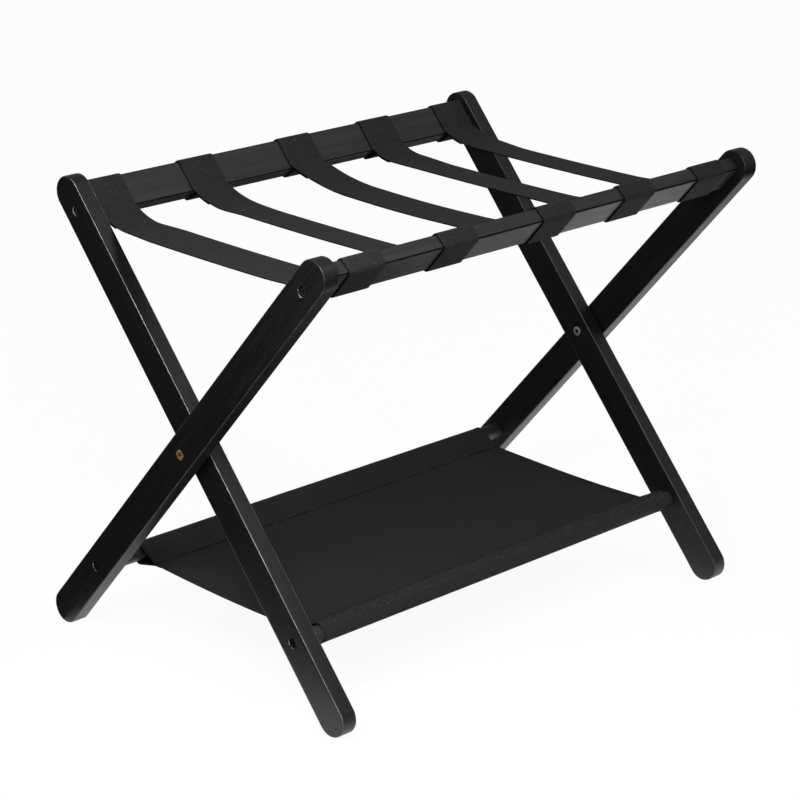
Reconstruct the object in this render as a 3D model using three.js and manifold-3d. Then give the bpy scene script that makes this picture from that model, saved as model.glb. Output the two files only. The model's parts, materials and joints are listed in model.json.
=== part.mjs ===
// Folding luggage rack: two crossed pairs of legs on one pivot axis, two top rails that carry
// webbing straps, and two lower bars that carry a fabric shelf.
//
// Millimetres, +Z up, X along the rails, origin on the floor under the middle of the rack.
// The outer frame (front rail, rear bar) and the inner frame (back rail, front bar) are each built
// in leg coordinates: Z up along the leg, Y across it towards the back, X along the pivot axis.
import * as THREE from "three";
import { mergeVertices } from "three/addons/utils/BufferGeometryUtils.js";
import Module from "manifold-3d";

const wasm = await Module();
wasm.setup();

// ---------------------------------------------------------------- driving dimensions

const LEAN = THREE.MathUtils.degToRad(41); // each leg's lean from the vertical, rack open
const PIVOT_TO_TOP = 318.5; // from the pivot to the centre of the leg's round top
const PIVOT_TO_FOOT = 321; // from the pivot to the centre of the leg's round foot
const LEG_WIDTH = 39;
const LEG_THICKNESS = 19.5;
const INNER_LEG_X = 301; // middle of an inner leg's thickness
const LEG_GAP = 2.7; // between an inner leg and the outer leg beside it
const EDGE = 1.5; // eased edges of the legs
const BAR_EDGE = 6; // of the bars
const RAIL_EDGE = 3; // rounder edges of the top rails, where the webbing turns
const FOOT_FLAT = 0.1; // depth of the small flat where each foot meets the floor

const RAIL_WIDTH = 40; // along the legs
const RAIL_THICKNESS = 18; // across the legs
const RAIL_TOP = 5.6; // rail's upper edge above the centre of the leg's round top
const RAIL_INWARD = 1.5; // rail's middle from the leg's middle, towards the other frame
const BAR_SIDE = 18;
const BAR_TO_FOOT = 89.5; // from a bar's middle to the centre of the leg's round foot

const WEB_WIDTH = 50;
const WEB_THICKNESS = 1.5;
const STRAP_X = [-266, -134, 14, 143, 266]; // middles of the five straps
const STRAP_BEND = 36; // radius of the bend in which a strap leaves a rail and levels out

const CLOTH = 1; // shelf fabric with its hems
const SHELF_WIDTH = 556;
const SHELF_X = 4; // the shelf sits a little to the right of the middle
const SLEEVE_REACH = 33; // from a bar's middle to the seam that closes its sleeve
const SHELF_DROP = 5; // seam and panel below the middles of the bars

const FIT = 0.3; // clearance between neighbouring pieces
const ROUND = 28; // facets round a screw head and its seat
const HEAD_EDGE = 0.7; // chamfer round every metal head
const SEAT = { d: 12.2, depth: 6 }; // sunk seat of a wood screw in a leg
const SCREW = { head: 11.2, headHeight: 2.8, shank: 5, length: 50, tip: 4, key: 4, keyDepth: 1.8 };
const DOWEL = { d: 8, inLeg: 12, inRail: 20 };
const SCREW_BELOW_TOP = 21.9; // rail screw, from the centre of the leg's round top
const DOWEL_BELOW_TOP = 5.3; // rail dowel, likewise
const PIVOT_SEAT = { d: 14, depth: 3.2 };
const NUT = {
  head: 13, headHeight: 2.2, barrel: 9, reach: 34, bore: 6.6, boreDepth: 16, key: 5, keyDepth: 2.2,
};
const BOLT = { head: 12.4, headHeight: 2.4, shank: 6, length: 17, key: 4, keyDepth: 1.6 };
const WASHER = 22;

// ---------------------------------------------------------------- derived places

const OUTER_LEG_X = INNER_LEG_X + LEG_THICKNESS + LEG_GAP;
const PIVOT_Z = PIVOT_TO_FOOT * Math.cos(LEAN) + LEG_WIDTH / 2 - FOOT_FLAT;
const INNER_SPAN = 2 * INNER_LEG_X - LEG_THICKNESS; // clear width between the inner legs
const OUTER_SPAN = 2 * OUTER_LEG_X - LEG_THICKNESS;
const RAIL_MIDDLE = PIVOT_TO_TOP + RAIL_TOP - RAIL_WIDTH / 2; // up the leg from the pivot
const BAR_MIDDLE = BAR_TO_FOOT - PIVOT_TO_FOOT;

// ---------------------------------------------------------------- materials

const finish = (color, roughness, metalness = 0) => () =>
  new THREE.MeshStandardMaterial({ color, roughness, metalness });
const paintedWood = finish(0x1d1c1c, 0.45);
const webbing = finish(0x2b2b2c, 0.9);
const shelfCloth = finish(0x262427, 0.95);
const brass = finish(0xb08038, 0.35, 1);
const nickel = finish(0xa9a8a4, 0.3, 1);
const blackSteel = finish(0x191919, 0.4, 1);
const bareWood = finish(0xb99a6b, 0.8);
const nylon = finish(0x151515, 0.5);

// ---------------------------------------------------------------- solids

function toSolid(geometry) {
  const bare = geometry.clone();
  bare.deleteAttribute("normal");
  bare.deleteAttribute("uv");
  const merged = mergeVertices(bare, 1e-4);
  const vertProperties = new Float32Array(merged.attributes.position.array);
  const triVerts = new Uint32Array(merged.index.array);
  return new wasm.Manifold(new wasm.Mesh({ numProp: 3, vertProperties, triVerts }));
}

function toGeometry(solid) {
  const mesh = solid.getMesh();
  const geometry = new THREE.BufferGeometry();
  geometry.setAttribute("position", new THREE.BufferAttribute(mesh.vertProperties, 3));
  geometry.setIndex(new THREE.BufferAttribute(mesh.triVerts, 1));
  geometry.computeVertexNormals();
  return geometry;
}

function cut(geometry, tools) {
  return toGeometry(tools.reduce((solid, tool) => solid.subtract(toSolid(tool)), toSolid(geometry)));
}

function join(geometries) {
  return toGeometry(geometries.map(toSolid).reduce((whole, solid) => whole.add(solid)));
}

// Turns a shape drawn in (Y, Z) and extruded along its own third axis into one extruded along X.
const ALONG_X = new THREE.Matrix4().makeBasis(
  new THREE.Vector3(0, 1, 0),
  new THREE.Vector3(0, 0, 1),
  new THREE.Vector3(1, 0, 0),
);

// A shape in (Y, Z) made into a solid of the given length, centred on X, with eased ends.
function alongX(shape, length, ease = 0, curveSegments = 2) {
  const geometry = new THREE.ExtrudeGeometry(shape, {
    depth: length - 2 * ease,
    bevelEnabled: ease > 0,
    bevelSize: ease,
    bevelThickness: ease,
    bevelOffset: -ease,
    bevelSegments: 2,
    curveSegments,
  });
  geometry.translate(0, 0, ease - length / 2);
  return geometry.applyMatrix4(ALONG_X);
}

function roundedBox(width, height, radius) {
  const [w, h, r] = [width / 2, height / 2, radius];
  const shape = new THREE.Shape();
  shape.absarc(w - r, h - r, r, 0, Math.PI / 2);
  shape.absarc(r - w, h - r, r, Math.PI / 2, Math.PI);
  shape.absarc(r - w, r - h, r, Math.PI, 1.5 * Math.PI);
  shape.absarc(w - r, r - h, r, 1.5 * Math.PI, 2 * Math.PI);
  shape.closePath();
  return shape;
}

// A pin along X from x0 to x1.
function pin(diameter, x0, x1, y = 0, z = 0, sides = 20) {
  const geometry = new THREE.CylinderGeometry(diameter / 2, diameter / 2, Math.abs(x1 - x0), sides);
  geometry.rotateZ(Math.PI / 2);
  return geometry.translate((x0 + x1) / 2, y, z);
}

// A round piece about X: profile points are [distance along X, radius], from the axis to the axis.
function turned(profile, sides = ROUND) {
  const points = profile.map(([x, radius]) => new THREE.Vector2(radius, x));
  return new THREE.LatheGeometry(points, sides).rotateZ(-Math.PI / 2);
}

// The chamfered head of a screw, nut or bolt that looks towards -X, as the start of its profile.
const headProfile = ({ head, headHeight }) => [
  [0, 0],
  [0, head / 2 - HEAD_EDGE],
  [HEAD_EDGE, head / 2],
  [headHeight, head / 2],
];

// The hexagon socket for its key, sunk into the end face at x = 0.
function keySocket({ key, keyDepth }) {
  return pin(key / Math.cos(Math.PI / 6), -1, keyDepth, 0, 0, 6);
}

// ---------------------------------------------------------------- assembly helpers

const rack = new THREE.Group();
const outerFrame = new THREE.Group();
const innerFrame = new THREE.Group();
outerFrame.position.z = PIVOT_Z;
innerFrame.position.z = PIVOT_Z;
outerFrame.rotation.x = LEAN;
innerFrame.rotation.x = -LEAN;
rack.add(outerFrame, innerFrame);

// The side of each frame's legs that faces the other frame, as a sign on its Y.
const INWARD = new Map([[outerFrame, 1], [innerFrame, -1]]);

function place(parent, name, geometry, material, x = 0, y = 0, z = 0) {
  const mesh = new THREE.Mesh(geometry, material());
  mesh.name = name;
  mesh.position.set(x, y, z);
  parent.add(mesh);
  return mesh;
}

// Faces a piece that was built looking towards -X the other way on the right-hand side.
function faceSide(mesh, side) {
  if (side > 0) mesh.rotation.z = Math.PI;
  return mesh;
}

const SIDES = [["left", -1], ["right", 1]];

// ---------------------------------------------------------------- legs

function legOutline() {
  const r = LEG_WIDTH / 2;
  const shape = new THREE.Shape();
  shape.absarc(0, PIVOT_TO_TOP, r, 0, Math.PI);
  shape.absarc(0, -PIVOT_TO_FOOT, r, Math.PI, 2 * Math.PI);
  shape.closePath();
  return shape;
}

// The floor, as a block in the frame's leg coordinates under that frame's feet.
function floorBlock(frame) {
  const footY = PIVOT_TO_FOOT * Math.sin(frame.rotation.x);
  const block = new THREE.BoxGeometry(2 * LEG_THICKNESS, LEG_WIDTH, LEG_WIDTH);
  return block.translate(0, footY, -PIVOT_Z - LEG_WIDTH / 2).rotateX(-frame.rotation.x);
}

// outward is the sign of X on the leg's outer face.
function leg(frame, outward) {
  const face = (outward * LEG_THICKNESS) / 2;
  const through = outward * (LEG_THICKNESS / 2 + 1);
  const sunk = (depth) => face - outward * depth;
  const pivotFace = frame === outerFrame ? face : -face;
  const pivotFloor = pivotFace - Math.sign(pivotFace) * PIVOT_SEAT.depth;
  const railScrewZ = PIVOT_TO_TOP - SCREW_BELOW_TOP;
  const dowelY = INWARD.get(frame) * RAIL_INWARD;
  const tools = [
    floorBlock(frame),
    pin(NUT.barrel + 2 * FIT, through, -through),
    pin(PIVOT_SEAT.d, pivotFloor, pivotFace + Math.sign(pivotFace), 0, 0, ROUND),
    pin(DOWEL.d + 2 * FIT, -through, -face + outward * (DOWEL.inLeg + FIT), dowelY,
      PIVOT_TO_TOP - DOWEL_BELOW_TOP),
  ];
  for (const z of [railScrewZ, BAR_MIDDLE]) {
    tools.push(pin(SCREW.shank + 2 * FIT, through, -through, 0, z));
    tools.push(pin(SEAT.d, sunk(SEAT.depth), through, 0, z, ROUND));
  }
  return cut(alongX(legOutline(), LEG_THICKNESS, EDGE, 16), tools);
}

for (const [sideName, side] of SIDES) {
  place(outerFrame, `outer_leg_${sideName}`, leg(outerFrame, side), paintedWood, side * OUTER_LEG_X);
  place(innerFrame, `inner_leg_${sideName}`, leg(innerFrame, side), paintedWood, side * INNER_LEG_X);
}

// ---------------------------------------------------------------- rails and bars

const screwInWood = SCREW.length - (LEG_THICKNESS - SEAT.depth); // screw's reach past the leg

function rail(frame, length) {
  const screwY = -INWARD.get(frame) * RAIL_INWARD;
  const holes = SIDES.flatMap(([, side]) => {
    const end = side * (length / 2 + 1);
    const inward = (reach) => side * (length / 2 - reach);
    return [
      pin(SCREW.shank + 2 * FIT, end, inward(screwInWood), screwY,
        PIVOT_TO_TOP - SCREW_BELOW_TOP - RAIL_MIDDLE),
      pin(DOWEL.d + 2 * FIT, end, inward(DOWEL.inRail), 0,
        PIVOT_TO_TOP - DOWEL_BELOW_TOP - RAIL_MIDDLE),
    ];
  });
  return cut(alongX(roundedBox(RAIL_THICKNESS, RAIL_WIDTH, RAIL_EDGE), length, 0, 4), holes);
}

function bar(length) {
  const holes = SIDES.map(([, side]) =>
    pin(SCREW.shank + 2 * FIT, side * (length / 2 + 1), side * (length / 2 - screwInWood)));
  return cut(alongX(roundedBox(BAR_SIDE, BAR_SIDE, BAR_EDGE), length), holes);
}

for (const [frame, railName, barName, span] of [
  [outerFrame, "front_top_rail", "rear_shelf_bar", OUTER_SPAN],
  [innerFrame, "back_top_rail", "front_shelf_bar", INNER_SPAN],
]) {
  const length = span - 2 * FIT;
  place(frame, railName, rail(frame, length), paintedWood, 0, INWARD.get(frame) * RAIL_INWARD,
    RAIL_MIDDLE);
  place(frame, barName, bar(length), paintedWood, 0, 0, BAR_MIDDLE);
}

// ---------------------------------------------------------------- wood screws and dowels

// A screw with its head at x = 0, looking towards -X.
function woodScrew() {
  const { headHeight, shank, length, tip } = SCREW;
  const body = turned([
    ...headProfile(SCREW),
    [headHeight, shank / 2],
    [length - FIT - tip, shank / 2],
    [length - FIT, 0],
  ]);
  return cut(body, [keySocket(SCREW)]);
}

function dowelPin() {
  const half = (DOWEL.inLeg + DOWEL.inRail) / 2 - FIT;
  return pin(DOWEL.d, -half, half);
}

for (const [frame, frameName, legX] of [
  [outerFrame, "front", OUTER_LEG_X],
  [innerFrame, "back", INNER_LEG_X],
]) {
  const barName = frame === outerFrame ? "rear" : "front";
  for (const [sideName, side] of SIDES) {
    const headX = side * (legX + LEG_THICKNESS / 2 - SEAT.depth + SCREW.headHeight + FIT);
    const faceX = legX - LEG_THICKNESS / 2;
    const dowelX = side * (faceX + (DOWEL.inLeg - DOWEL.inRail) / 2);
    faceSide(place(frame, `${frameName}_rail_screw_${sideName}`, woodScrew(), blackSteel, headX, 0,
      PIVOT_TO_TOP - SCREW_BELOW_TOP), side);
    faceSide(place(frame, `${barName}_bar_screw_${sideName}`, woodScrew(), blackSteel, headX, 0,
      BAR_MIDDLE), side);
    place(frame, `${frameName}_rail_dowel_${sideName}`, dowelPin(), bareWood, dowelX,
      INWARD.get(frame) * RAIL_INWARD, PIVOT_TO_TOP - DOWEL_BELOW_TOP);
  }
}

// ---------------------------------------------------------------- pivots

// The sleeve nut comes in from the outer leg and is the axle that both legs turn on.
function sleeveNut() {
  const { headHeight, barrel, reach, bore, boreDepth } = NUT;
  const body = turned([
    ...headProfile(NUT),
    [headHeight, barrel / 2],
    [reach, barrel / 2],
    [reach, bore / 2],
    [reach - boreDepth, bore / 2],
    [reach - boreDepth, 0],
  ]);
  return cut(body, [keySocket(NUT)]);
}

// The bolt comes in from the inner leg's inner face and screws into the sleeve nut.
function pivotBolt() {
  const { headHeight, shank, length } = BOLT;
  const body = turned([
    ...headProfile(BOLT),
    [headHeight, shank / 2],
    [length, shank / 2],
    [length, 0],
  ]);
  return cut(body, [keySocket(BOLT)]);
}

const washer = () => cut(pin(WASHER, -(LEG_GAP / 2 - FIT), LEG_GAP / 2 - FIT),
  [pin(NUT.barrel + 2 * FIT, -LEG_GAP, LEG_GAP)]);

for (const [sideName, side] of SIDES) {
  const outerFace = OUTER_LEG_X + LEG_THICKNESS / 2;
  const innerFace = INNER_LEG_X - LEG_THICKNESS / 2;
  const nutX = outerFace - PIVOT_SEAT.depth + NUT.headHeight + FIT;
  const boltX = innerFace + PIVOT_SEAT.depth - BOLT.headHeight - FIT;
  faceSide(place(outerFrame, `pivot_sleeve_nut_${sideName}`, sleeveNut(), brass, side * nutX), side);
  faceSide(place(outerFrame, `pivot_bolt_${sideName}`, pivotBolt(), nickel, side * boltX), -side);
  place(outerFrame, `pivot_washer_${sideName}`, washer(), nylon,
    side * (INNER_LEG_X + LEG_THICKNESS / 2 + LEG_GAP / 2));
}

// ---------------------------------------------------------------- webbing and cloth sections

// A point of the outer frame's leg coordinates, in the rack's (Y, Z). The inner frame's mirrors it.
function inRack(y, z) {
  return new THREE.Vector2(
    y * Math.cos(LEAN) - z * Math.sin(LEAN),
    PIVOT_Z + y * Math.sin(LEAN) + z * Math.cos(LEAN),
  );
}

// Cloth of the given thickness wrapped round a board, as a section in (Y, Z).
function wrapOutline(width, height, edge, thickness) {
  const grow = 2 * (FIT + thickness);
  const shape = roundedBox(width + grow, height + grow, edge + FIT + thickness);
  shape.holes.push(roundedBox(width + 2 * FIT, height + 2 * FIT, edge + FIT));
  return shape;
}

// A strip in (Y, Z) of the given thickness along a line of points.
function strip(points, thickness) {
  const half = thickness / 2;
  const sideOf = (point, i) => {
    const before = points[Math.max(i - 1, 0)];
    const after = points[Math.min(i + 1, points.length - 1)];
    const along = after.clone().sub(before).normalize();
    return new THREE.Vector2(-along.y, along.x).multiplyScalar(half);
  };
  const left = points.map((point, i) => point.clone().add(sideOf(point, i)));
  const right = points.map((point, i) => point.clone().sub(sideOf(point, i)));
  return new THREE.Shape([...right, ...left.reverse()]);
}

const mirrorY = (point) => new THREE.Vector2(-point.x, point.y);

// ---------------------------------------------------------------- webbing straps

const BEND_STEPS = 6;

// A span runs on from the inner face of the front loop, levels out in one wide bend, crosses level
// and bends up again into the back loop.
const spanStart = inRack(
  RAIL_INWARD + RAIL_THICKNESS / 2 + FIT + WEB_THICKNESS / 2,
  RAIL_MIDDLE - RAIL_WIDTH / 2 - WEB_THICKNESS - 2 * FIT,
);
const frontBend = Array.from({ length: BEND_STEPS + 1 }, (_, i) => {
  const slope = (Math.PI / 2 - LEAN) * (1 - i / BEND_STEPS);
  return new THREE.Vector2(
    spanStart.x + STRAP_BEND * (Math.cos(LEAN) - Math.sin(slope)),
    spanStart.y + STRAP_BEND * (Math.sin(LEAN) - Math.cos(slope)),
  );
});
const spanPoints = [...frontBend, ...frontBend.map(mirrorY).reverse()];

const loopOutline = () => wrapOutline(RAIL_THICKNESS, RAIL_WIDTH, RAIL_EDGE, WEB_THICKNESS);
const strapLoop = () => alongX(loopOutline(), WEB_WIDTH, 0, 3);
const strapSpan = () => alongX(strip(spanPoints, WEB_THICKNESS), WEB_WIDTH);

STRAP_X.forEach((x, i) => {
  const name = `strap_${i + 1}`;
  for (const [frame, side] of [[outerFrame, "front"], [innerFrame, "back"]]) {
    place(frame, `${name}_${side}_loop`, strapLoop(), webbing, x, INWARD.get(frame) * RAIL_INWARD,
      RAIL_MIDDLE);
  }
  place(rack, `${name}_span`, strapSpan(), webbing, x);
});

// ---------------------------------------------------------------- shelf

// A cloth sleeve round each bar, and one panel that splits at a seam beside each bar into the two
// layers that run over and under it.
const shelfSleeve = () => alongX(wrapOutline(BAR_SIDE, BAR_SIDE, BAR_EDGE, CLOTH), SHELF_WIDTH);
for (const [frame, name] of [[outerFrame, "shelf_rear_sleeve"], [innerFrame, "shelf_front_sleeve"]]) {
  place(frame, name, shelfSleeve(), shelfCloth, SHELF_X, 0, BAR_MIDDLE);
}

const barCentre = inRack(0, BAR_MIDDLE);
const seam = new THREE.Vector2(barCentre.x - SLEEVE_REACH, barCentre.y - SHELF_DROP);

// The end of a layer that runs from the seam to touch the sleeve's round corner, above or below.
function layerEnd(up) {
  const inset = BAR_SIDE / 2 - BAR_EDGE;
  const corner = inRack(up * inset, BAR_MIDDLE + up * inset);
  const reach = corner.clone().sub(seam);
  const radius = BAR_EDGE + 2 * FIT + 1.5 * CLOTH;
  const direction = reach.angle() + up * Math.asin(radius / reach.length());
  const length = Math.sqrt(reach.lengthSq() - radius ** 2);
  return new THREE.Vector2(Math.cos(direction), Math.sin(direction)).multiplyScalar(length).add(seam);
}

function shelfPanel() {
  const ends = [layerEnd(1), layerEnd(-1)];
  const layers = ends.flatMap((end) => [[seam, end], [mirrorY(end), mirrorY(seam)]]);
  const sheet = [mirrorY(seam), seam];
  return join([sheet, ...layers].map((line) => alongX(strip(line, CLOTH), SHELF_WIDTH)));
}

place(rack, "shelf_panel", shelfPanel(), shelfCloth, SHELF_X);

export default rack;
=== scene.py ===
"""Folding luggage rack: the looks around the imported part. Metres, +Z up, X along the rails."""

import json
import math

import bmesh
import bpy
from mathutils import Matrix, Vector, noise


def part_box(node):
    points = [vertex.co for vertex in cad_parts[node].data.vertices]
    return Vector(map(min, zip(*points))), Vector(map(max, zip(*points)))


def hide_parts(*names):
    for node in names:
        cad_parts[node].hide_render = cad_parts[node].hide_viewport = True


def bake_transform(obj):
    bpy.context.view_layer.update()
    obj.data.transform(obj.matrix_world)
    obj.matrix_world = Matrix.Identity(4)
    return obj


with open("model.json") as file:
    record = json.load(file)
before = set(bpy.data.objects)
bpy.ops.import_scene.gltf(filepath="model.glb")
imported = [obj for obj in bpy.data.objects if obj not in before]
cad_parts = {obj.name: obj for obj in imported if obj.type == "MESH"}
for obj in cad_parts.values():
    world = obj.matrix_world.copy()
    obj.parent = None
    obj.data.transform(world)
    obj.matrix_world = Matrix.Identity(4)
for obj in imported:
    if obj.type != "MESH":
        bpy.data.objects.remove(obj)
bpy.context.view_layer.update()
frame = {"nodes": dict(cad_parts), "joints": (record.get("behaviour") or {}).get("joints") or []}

MM = 0.001

# ---------------------------------------------------------------- measured from the frame

PIVOT = Vector(frame["joints"][0]["pos_m"])
CLEARANCE = 0.3 * MM  # the CAD's gap between touching neighbours


def middle(node):
    low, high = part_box(node)
    return (low + high) / 2


leg_line = middle("front_rail_screw_left") - middle("rear_bar_screw_left")
LEAN = math.atan2(-leg_line.y, leg_line.z)
OUTER = Matrix.Rotation(LEAN, 3, "X")  # leg coordinates of the outer frame to the rack's
INNER = Matrix.Rotation(-LEAN, 3, "X")


def in_leg(node, turn):
    """A node's lowest and highest corner along and across its frame's legs, from the pivot."""
    back = turn.transposed()
    points = [back @ (v.co - PIVOT) for v in frame["nodes"][node].data.vertices]
    low = Vector([min(p[i] for p in points) for i in range(3)])
    high = Vector([max(p[i] for p in points) for i in range(3)])
    return low, high


# ---------------------------------------------------------------- shader helpers


class Shader:
    """A material and the few calls that its nodes are made with."""

    def __init__(self, name):
        self.material = bpy.data.materials.new(name)
        self.material.use_nodes = True
        self.tree = self.material.node_tree
        self.surface = self.tree.nodes["Principled BSDF"]
        self.place = self.add("ShaderNodeTexCoord").outputs["Object"]

    def add(self, kind, **settings):
        node = self.tree.nodes.new(kind)
        for key, value in settings.items():
            setattr(node, key, value)
        return node

    def set(self, socket, value):
        if isinstance(value, bpy.types.NodeSocket):
            self.tree.links.new(value, socket)
        else:
            socket.default_value = value

    def math(self, operation, *values):
        node = self.add("ShaderNodeMath", operation=operation)
        for socket, value in zip(node.inputs, values):
            self.set(socket, value)
        return node.outputs[0]

    def vector(self, operation, *values):
        node = self.add("ShaderNodeVectorMath", operation=operation)
        for socket, value in zip(node.inputs, values):
            self.set(socket, value)
        return node.outputs[0]

    def split(self, vector):
        node = self.add("ShaderNodeSeparateXYZ")
        self.set(node.inputs[0], vector)
        return node.outputs

    def noise(self, vector, scale, detail=2.0, roughness=0.5):
        node = self.add("ShaderNodeTexNoise")
        self.set(node.inputs["Vector"], vector)
        self.set(node.inputs["Scale"], scale)
        self.set(node.inputs["Detail"], detail)
        self.set(node.inputs["Roughness"], roughness)
        return node.outputs[0]

    def waves(self, value, pitch):
        """Round-topped ridges from 0 to 1, one to each pitch."""
        return self.math("ABSOLUTE", self.math("SINE", self.math("MULTIPLY", value, math.pi / pitch)))

    def ramp(self, value, low, high, to_low=0.0, to_high=1.0):
        node = self.add("ShaderNodeMapRange", interpolation_type="SMOOTHSTEP")
        for socket, number in zip(node.inputs, (value, low, high, to_low, to_high)):
            self.set(socket, number)
        return node.outputs[0]

    def mix(self, share, first, second):
        node = self.add("ShaderNodeMix", data_type="RGBA")
        self.set(node.inputs["Factor"], share)
        self.set(node.inputs["A"], (*first, 1) if isinstance(first, tuple) else first)
        self.set(node.inputs["B"], (*second, 1) if isinstance(second, tuple) else second)
        return node.outputs["Result"]

    def bump(self, height, distance, strength=1.0, onto=None):
        node = self.add("ShaderNodeBump")
        self.set(node.inputs["Height"], height)
        self.set(node.inputs["Distance"], distance)
        self.set(node.inputs["Strength"], strength)
        if onto is not None:
            self.set(node.inputs["Normal"], onto)
        return node.outputs[0]

    def finish(self, **sockets):
        for name, value in sockets.items():
            self.set(self.surface.inputs[name.replace("_", " ")], value)
        return self.material


def stretched(shader, place, scale):
    return shader.vector("MULTIPLY", place, scale)


# ---------------------------------------------------------------- painted wood

PAINT = (0.0072, 0.0068, 0.0066)
# The rails' copy of the same black paint is about five times lighter: painted light on their lit,
# up-facing faces
RAIL_PAINT_WITH_PAINTED_LIGHT = (0.0350, 0.0344, 0.0341)
# How pale each leg's edge line is: rubbed paint and a painted highlight, palest on the inner left leg,
# whose edges catch the most light
EDGE_WEAR_AND_HIGHLIGHT = {
    "inner_leg_left": (0.75, 0.74, 0.72),
    "inner_leg_right": (0.20, 0.195, 0.19),
    "outer_leg_left": (0.13, 0.125, 0.12),
    "outer_leg_right": (0.13, 0.125, 0.12),
}
LEG_EDGE_LINE = 0.62 * MM  # the rubbed, highlighted line on an edge shows this far in from the board's two faces
RAIL_EDGE_LINE = 1.3 * MM  # further in, because a rail's edge is rounder
EDGE_LINE_FADE = 12 * MM  # round a leg's end the rubbed and highlighted edge line fades over this length
BARE_SEAT = (0.45, 0.44, 0.42)  # unpainted walls of the screws' sunk seats
SEAT_RIM = 0.4 * MM  # paint reaches this far over a seat's edge
BARE_DEPTH = 1.5 * MM  # deeper than this the wall is dark again
SEAT_MARGIN = 0.9 * MM  # a seat is this much wider than its screw's head, all round


def board_place(s, turn_angle, centre):
    """The shaded point in the board's own coordinates: X, then across and along the legs."""
    rotate = s.add("ShaderNodeVectorRotate", rotation_type="X_AXIS")
    s.set(rotate.inputs["Vector"], s.vector("SUBTRACT", s.place, PIVOT))
    s.set(rotate.inputs["Angle"], -turn_angle)
    return s.vector("SUBTRACT", rotate.outputs[0], centre)


def length_of(s, first, second):
    squares = s.math("ADD", s.math("MULTIPLY", first, first), s.math("MULTIPLY", second, second))
    return s.math("SQRT", squares)


def past_straight(s, place, half, end_radius):
    """How far the shaded point lies beyond a leg's straight stretch, into one of its round ends."""
    return s.math("SUBTRACT", s.math("ABSOLUTE", s.split(place)[2]), half.z - end_radius)


def from_long_edge(s, place, half, end_radius):
    """The distance from a board's nearest long edge; a leg's edge runs on round its two ends."""
    x, y, z = s.split(place)
    if end_radius is None:
        first = s.math("SUBTRACT", half.y, s.math("ABSOLUTE", y))
        second = s.math("SUBTRACT", half.z, s.math("ABSOLUTE", z))
        return s.math("MAXIMUM", first, second)
    across = length_of(s, y, s.math("MAXIMUM", past_straight(s, place, half, end_radius), 0.0))
    first = s.math("SUBTRACT", end_radius, across)
    second = s.math("SUBTRACT", half.x, s.math("ABSOLUTE", x))
    return s.math("MAXIMUM", first, second)


def in_seats(s, place, half, seats):
    """1 on the upper walls of a leg's sunk seats, given as (height along the leg, radius)."""
    x, y, z = s.split(place)
    depth = s.math("SUBTRACT", half.x, s.math("ABSOLUTE", x))
    bare = s.ramp(depth, BARE_DEPTH, 1.5 * BARE_DEPTH, 1.0, 0.0)
    chipped = s.ramp(s.noise(place, 260, 2), 0.34, 0.52)
    sunk = s.math("MULTIPLY", s.math("GREATER_THAN", depth, SEAT_RIM), s.math("MULTIPLY", bare, chipped))
    inside = 0.0
    for height, radius in seats:
        away = length_of(s, y, s.math("SUBTRACT", z, height))
        inside = s.math("MAXIMUM", inside, s.math("LESS_THAN", away, radius))
    return s.math("MULTIPLY", sunk, inside)


def painted_wood(name, turn_angle, centre, half, end_radius=None, seats=(), rub_and_highlight=None):
    """Black satin paint over the grain of one board. half is the board's half size in its own
    coordinates. A leg has an end radius, bare seats and a pale edge line of rubbed paint and painted
    highlight; a rail has dull edges coloured darker, painted shade."""
    s = Shader(name)
    place = board_place(s, turn_angle, centre)
    is_leg = end_radius is not None
    grain_place = stretched(s, place, (1, 1, 0.035) if is_leg else (0.035, 1, 1))
    edge = from_long_edge(s, place, half, end_radius)
    patches = s.noise(place, 60, 3)
    sharp = LEG_EDGE_LINE if is_leg else RAIL_EDGE_LINE
    reach = s.ramp(patches, 0.3, 0.75, sharp + 0.12 * MM, sharp + 0.4 * MM)
    edge_line = s.math("SUBTRACT", 1.0, s.ramp(edge, sharp, reach))
    # fibres, open pores and the paint's own texture
    fibres = s.noise(grain_place, 900, 4, 0.6)
    bands = s.noise(grain_place, 140, 2, 0.5)
    pores = s.ramp(s.noise(grain_place, 1700, 1, 0.4), 0.28, 0.4)
    orange_peel = s.noise(place, 900, 2, 0.5)
    # a rail takes the lighter copy of the paint, painted light on its lit faces
    paint = PAINT if is_leg else RAIL_PAINT_WITH_PAINTED_LIGHT
    dark = s.mix(s.ramp(bands, 0.35, 0.7), paint, tuple(1.4 * c for c in paint))
    open_grain = s.math("MULTIPLY", s.ramp(fibres, 0.45, 0.75), 0.5)
    colour = s.mix(open_grain, dark, tuple((4 if is_leg else 1.8) * c for c in paint))
    shine = 0.5
    if is_leg:
        # the pale edge line is rubbed paint and a painted highlight, fading round the leg's ends
        at_end = s.ramp(past_straight(s, place, half, end_radius), 0.0, EDGE_LINE_FADE, 1.0, 0.2)
        wear_and_highlight = s.math("MULTIPLY", at_end, s.ramp(patches, 0.25, 0.7, 0.5, 1.0))
        wear_and_highlight = s.math("MULTIPLY", edge_line, wear_and_highlight)
        colour = s.mix(wear_and_highlight, colour, rub_and_highlight)
        colour = s.mix(in_seats(s, place, half, seats), colour, BARE_SEAT)
    else:
        # painted shade: a rail's edges are coloured darker, standing in for the dark line of shade along
        # them
        shine = s.ramp(edge_line, 0.0, 1.0, 0.33, 0.02)
        colour = s.mix(edge_line, colour, tuple(0.12 * c for c in paint))
    gloss = s.math("ADD", fibres, s.math("MULTIPLY", bands, 0.6))
    roughness = s.ramp(gloss, 0.5, 1.2, 0.34, 0.5)
    relief = s.bump(pores, 0.10 * MM, 0.5)
    relief = s.bump(fibres, 0.2 * MM, 0.8, relief)
    relief = s.bump(orange_peel, 0.03 * MM, 0.5, relief)
    return s.finish(Base_Color=colour, Roughness=roughness, Normal=relief, Specular_IOR_Level=shine)


# ---------------------------------------------------------------- other hard materials

BRASS = (1.0, 0.60, 0.28)
NICKEL = (1.0, 0.98, 0.95)


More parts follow.
